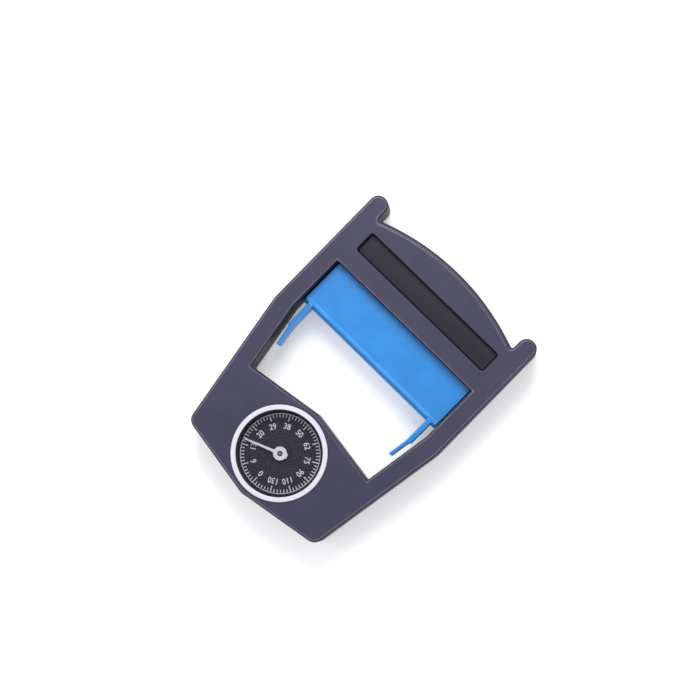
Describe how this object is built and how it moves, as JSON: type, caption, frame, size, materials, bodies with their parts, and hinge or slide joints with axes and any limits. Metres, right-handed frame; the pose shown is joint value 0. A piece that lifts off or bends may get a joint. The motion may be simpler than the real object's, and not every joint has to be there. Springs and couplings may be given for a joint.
{
  "type": "hand dynamometer",
  "caption": "Spring-loaded hand grip dynamometer: flat housing with a finger window, sliding blue grip, palm rest between two horns and a round dial with a rack-driven pointer.",
  "frame": {"origin": "middle of the rear face's plane, under the centre of the outline", "axes": "+X across the hand to the right as the dial is read, +Y from the dial towards the palm rest, +Z out of the dial face; the instrument lies on its back on z = 0"},
  "size_m": [0.124, 0.17, 0.0264],
  "materials": {
    "housing": "fine matte moulded texture, dark slate grey",
    "grip_blue": "satin moulded, bright blue",
    "bezel": "satin off-white",
    "case_black": "black, satin",
    "dial_paint": "matte dark grey with white printing",
    "pointer_white": "matte white",
    "clear_cover": "clear, polished",
    "seal_rubber": "matte",
    "guide_nylon": "natural, satin",
    "zinc_steel": "zinc plated",
    "spring_wire": "bright drawn wire",
    "black_steel": "blackened",
    "brass": "turned, satin"
  },
  "bodies": {
    "housing": {"front_shell": "housing", "rear_shell": "housing", "bezel_ring": "bezel", "dial_case": "case_black", "dial_plate": "dial_paint", "crystal": "clear_cover", "crystal_gasket": "seal_rubber", "rack_guide": "guide_nylon", "case_clamp_ring": "zinc_steel", "guide_post_left": "zinc_steel", "guide_post_right": "zinc_steel", "spacer_lower_left": "zinc_steel", "spacer_upper_left": "zinc_steel", "spacer_lower_right": "zinc_steel", "spacer_upper_right": "zinc_steel", "main_spring_left": "spring_wire", "main_spring_right": "spring_wire", "hairspring": "spring_wire", "horn_screw_left": "black_steel", "horn_screw_right": "black_steel", "bridge_screw_left": "black_steel", "bridge_screw_right": "black_steel", "block_screw_left": "black_steel", "block_screw_right": "black_steel", "movement_screw_lower_left": "black_steel", "movement_screw_upper_left": "black_steel", "movement_screw_lower_right": "black_steel", "movement_screw_upper_right": "black_steel", "movement_back_plate": "brass", "movement_front_plate": "brass", "back_bush": "brass", "front_bush": "brass", "hairspring_stud": "brass"},
    "grip_carriage": {"grip": "grip_blue", "grip_screw_left": "black_steel", "grip_screw_right": "black_steel", "spring_plate": "zinc_steel", "draw_rod_left": "zinc_steel", "draw_rod_right": "zinc_steel", "rod_nut_left": "brass", "rod_nut_right": "brass", "link_pin_left": "zinc_steel", "link_pin_right": "zinc_steel", "draw_link": "zinc_steel", "rack": "brass", "rack_rivet_1": "zinc_steel", "rack_rivet_2": "zinc_steel"},
    "pointer_train": {"pointer": "pointer_white", "pointer_boss": "black_steel", "pinion_arbor": "zinc_steel", "hairspring_collet": "brass"}
  },
  "joints": [
    {"name": "grip_slide", "type": "slide", "parent": "housing", "child": "grip_carriage", "axis": [0, 1, 0], "range_m": [-0.00239, 0.00913], "stiffness_N_per_m": 110000, "springref_m": -0.0035, "deforming": ["main_spring_left", "main_spring_right"]},
    {"name": "pointer_turn", "type": "hinge", "parent": "housing", "child": "pointer_train", "pos_m": [0, -0.0552, 0.0128], "axis": [0, 0, -1], "range_deg": [-68.5, 261.5], "deforming": ["hairspring"]}
  ],
  "couplings": [
    {"joint": "pointer_turn", "follows": "grip_slide", "rad_per_m": 500}
  ]
}
